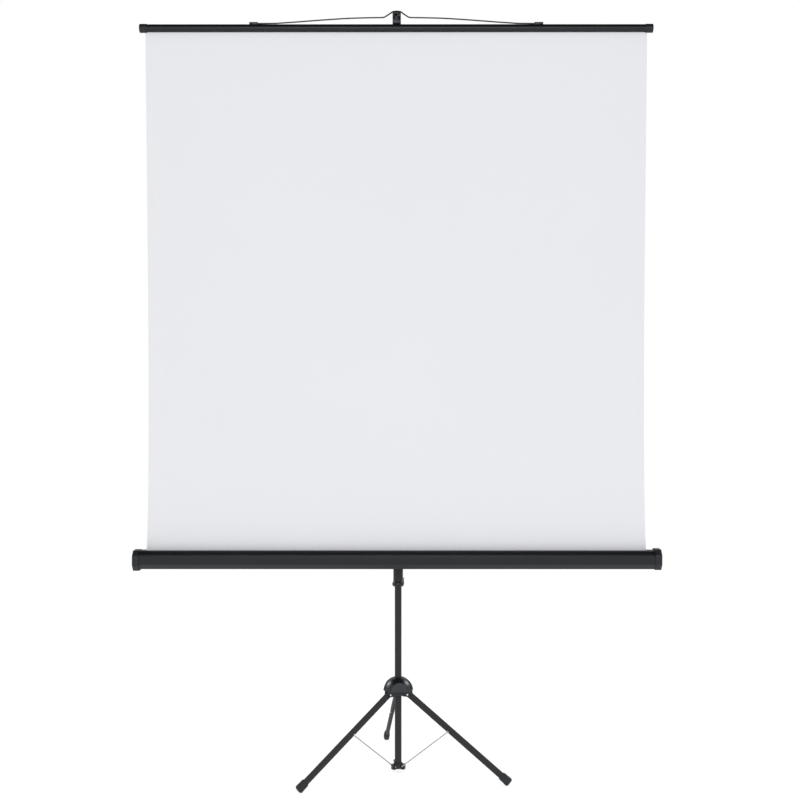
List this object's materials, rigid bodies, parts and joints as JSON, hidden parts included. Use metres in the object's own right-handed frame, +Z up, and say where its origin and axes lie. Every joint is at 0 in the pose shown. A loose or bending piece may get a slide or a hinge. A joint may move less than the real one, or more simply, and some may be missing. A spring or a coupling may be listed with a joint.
{
  "type": "tripod projector screen",
  "caption": "Free-standing projection screen: white roller screen in a long black case, drawn up to a sliding mast on a folding tripod stand.",
  "frame": {"origin": "on the floor, at the centre of the object's outline seen from above", "axes": "+Z up, +X to the viewer's right, the picture side faces -Y"},
  "size_m": [1.5828, 0.5829, 2.3048],
  "materials": {
    "black_paint": "black powder coat, satin",
    "black_plastic": "black moulded plastic, satin",
    "black_rubber": "black rubber, matt",
    "bright_steel": "bright zinc-plated steel",
    "bail_steel": "dark oiled spring steel wire",
    "screen_cloth": "matt white screen cloth",
    "roller_aluminium": "drawn aluminium, plain",
    "grey_plastic": "grey moulded plastic"
  },
  "bodies": {
    "column": {"column_tube": "black_paint", "spreader": "black_plastic", "column_bush": "grey_plastic"},
    "hub": {"hub": "black_plastic", "hub_pin_left": "bright_steel", "hub_pin_right": "bright_steel", "hub_pin_back": "bright_steel"},
    "leg_left": {"leg_left": "black_paint", "foot_left": "black_rubber", "stay_rivet_left": "bright_steel"},
    "stay_left": {"stay_left": "bright_steel"},
    "leg_right": {"leg_right": "black_paint", "foot_right": "black_rubber", "stay_rivet_right": "bright_steel"},
    "stay_right": {"stay_right": "bright_steel"},
    "leg_back": {"leg_back": "black_paint", "foot_back": "black_rubber", "stay_rivet_back": "bright_steel"},
    "stay_back": {"stay_back": "bright_steel"},
    "outer_tube": {"outer_tube": "black_paint", "height_collar": "black_plastic", "lever_pin": "bright_steel", "mast_collar": "black_plastic", "tube_clamp": "black_paint", "clamp_strap": "black_paint", "clamp_screw_left": "bright_steel", "clamp_screw_right": "bright_steel", "swivel_bolt": "bright_steel", "swivel_nut": "bright_steel"},
    "height_lever": {"height_lever": "black_plastic"},
    "mast_knob": {"mast_knob": "black_plastic"},
    "mast": {"mast_tube": "black_paint", "mast_head": "black_plastic"},
    "case": {"case_top_front": "black_paint", "case_front": "black_paint", "case_lower_front": "black_paint", "case_bottom": "black_paint", "case_lower_back": "black_paint", "case_back": "black_paint", "case_top_back": "black_paint", "case_cap_left": "black_plastic", "case_cap_right": "black_plastic", "case_saddle": "black_paint", "saddle_rivet_1": "bright_steel", "saddle_rivet_2": "bright_steel", "spring_arbor": "bright_steel", "torsion_spring": "bright_steel", "screen_fabric": "screen_cloth"},
    "roller": {"roller_tube": "roller_aluminium", "idle_plug": "grey_plastic", "idle_pin": "bright_steel", "spring_plug": "grey_plastic", "fabric_roll": "screen_cloth"},
    "top_bar": {"top_bar": "black_paint", "bar_cap_left": "black_plastic", "bar_cap_right": "black_plastic", "fabric_rod": "grey_plastic", "bail_clip_left": "black_plastic", "bail_clip_right": "black_plastic"},
    "bail": {"bail_wire": "bail_steel"}
  },
  "joints": [
    {"name": "hub_slide", "type": "slide", "parent": "column", "child": "hub", "axis": [0, 0, 1], "range_m": [0, 0.1351]},
    {"name": "leg_left_fold", "type": "hinge", "parent": "hub", "child": "leg_left", "pos_m": [-0.02517, -0.09177, 0.23965], "axis": [0.5934, -0.8049, 0], "range_deg": [0, 54.5]},
    {"name": "stay_left_fold", "type": "hinge", "parent": "column", "child": "stay_left", "pos_m": [-0.00907, -0.0799, 0.017], "axis": [-0.5934, 0.8049, 0], "range_deg": [0, 46.7]},
    {"name": "leg_right_fold", "type": "hinge", "parent": "hub", "child": "leg_right", "pos_m": [0.03507, -0.08501, 0.23965], "axis": [0.4003, 0.9164, 0], "range_deg": [0, 54.5]},
    {"name": "stay_right_fold", "type": "hinge", "parent": "column", "child": "stay_right", "pos_m": [0.01674, -0.07701, 0.017], "axis": [-0.4003, -0.9164, 0], "range_deg": [0, 46.7]},
    {"name": "leg_back_fold", "type": "hinge", "parent": "hub", "child": "leg_back", "pos_m": [-0.0009, -0.03622, 0.23965], "axis": [-0.9938, -0.1115, 0], "range_deg": [0, 54.5]},
    {"name": "stay_back_fold", "type": "hinge", "parent": "column", "child": "stay_back", "pos_m": [0.00133, -0.05609, 0.017], "axis": [0.9938, 0.1115, 0], "range_deg": [0, 46.7]},
    {"name": "height_slide", "type": "slide", "parent": "column", "child": "outer_tube", "axis": [0, 0, 1], "range_m": [-0.13, 0.35]},
    {"name": "height_lever_swing", "type": "hinge", "parent": "outer_tube", "child": "height_lever", "pos_m": [0.0183, -0.071, 0.5725], "axis": [0, 1, 0], "range_deg": [0, 95]},
    {"name": "mast_knob_turn", "type": "hinge", "parent": "outer_tube", "child": "mast_knob", "pos_m": [0.003, -0.071, 1.308], "axis": [0, 1, 0], "range_deg": [0, 360]},
    {"name": "mast_slide", "type": "slide", "parent": "outer_tube", "child": "mast", "axis": [0, 0, -1], "range_m": [0, 0.93]},
    {"name": "case_swivel", "type": "hinge", "parent": "outer_tube", "child": "case", "pos_m": [0.003, -0.071, 0.657], "axis": [0, 1, 0], "range_deg": [0, 50]},
    {"name": "screen_pull", "type": "slide", "parent": "case", "child": "top_bar", "axis": [0, 0, -1], "range_m": [0, 1.545], "deforming": ["screen_fabric"]},
    {"name": "roller_spin", "type": "hinge", "parent": "case", "child": "roller", "pos_m": [0.003, -0.1474, 0.656], "axis": [-1, 0, 0], "range_deg": [0, 5010]},
    {"name": "bail_swing", "type": "hinge", "parent": "top_bar", "child": "bail", "pos_m": [-0.0026, -0.132, 2.2609], "axis": [1, 0, 0], "range_deg": [0, 105]}
  ],
  "couplings": [
    {"joint": "leg_left_fold", "follows": "hub_slide", "rad_per_m": 7.0265},
    {"joint": "stay_left_fold", "follows": "hub_slide", "rad_per_m": 6.0194},
    {"joint": "leg_right_fold", "follows": "hub_slide", "rad_per_m": 7.0265},
    {"joint": "stay_right_fold", "follows": "hub_slide", "rad_per_m": 6.0194},
    {"joint": "leg_back_fold", "follows": "hub_slide", "rad_per_m": 7.0265},
    {"joint": "stay_back_fold", "follows": "hub_slide", "rad_per_m": 6.0194},
    {"joint": "roller_spin", "follows": "screen_pull", "rad_per_m": 56.5}
  ]
}
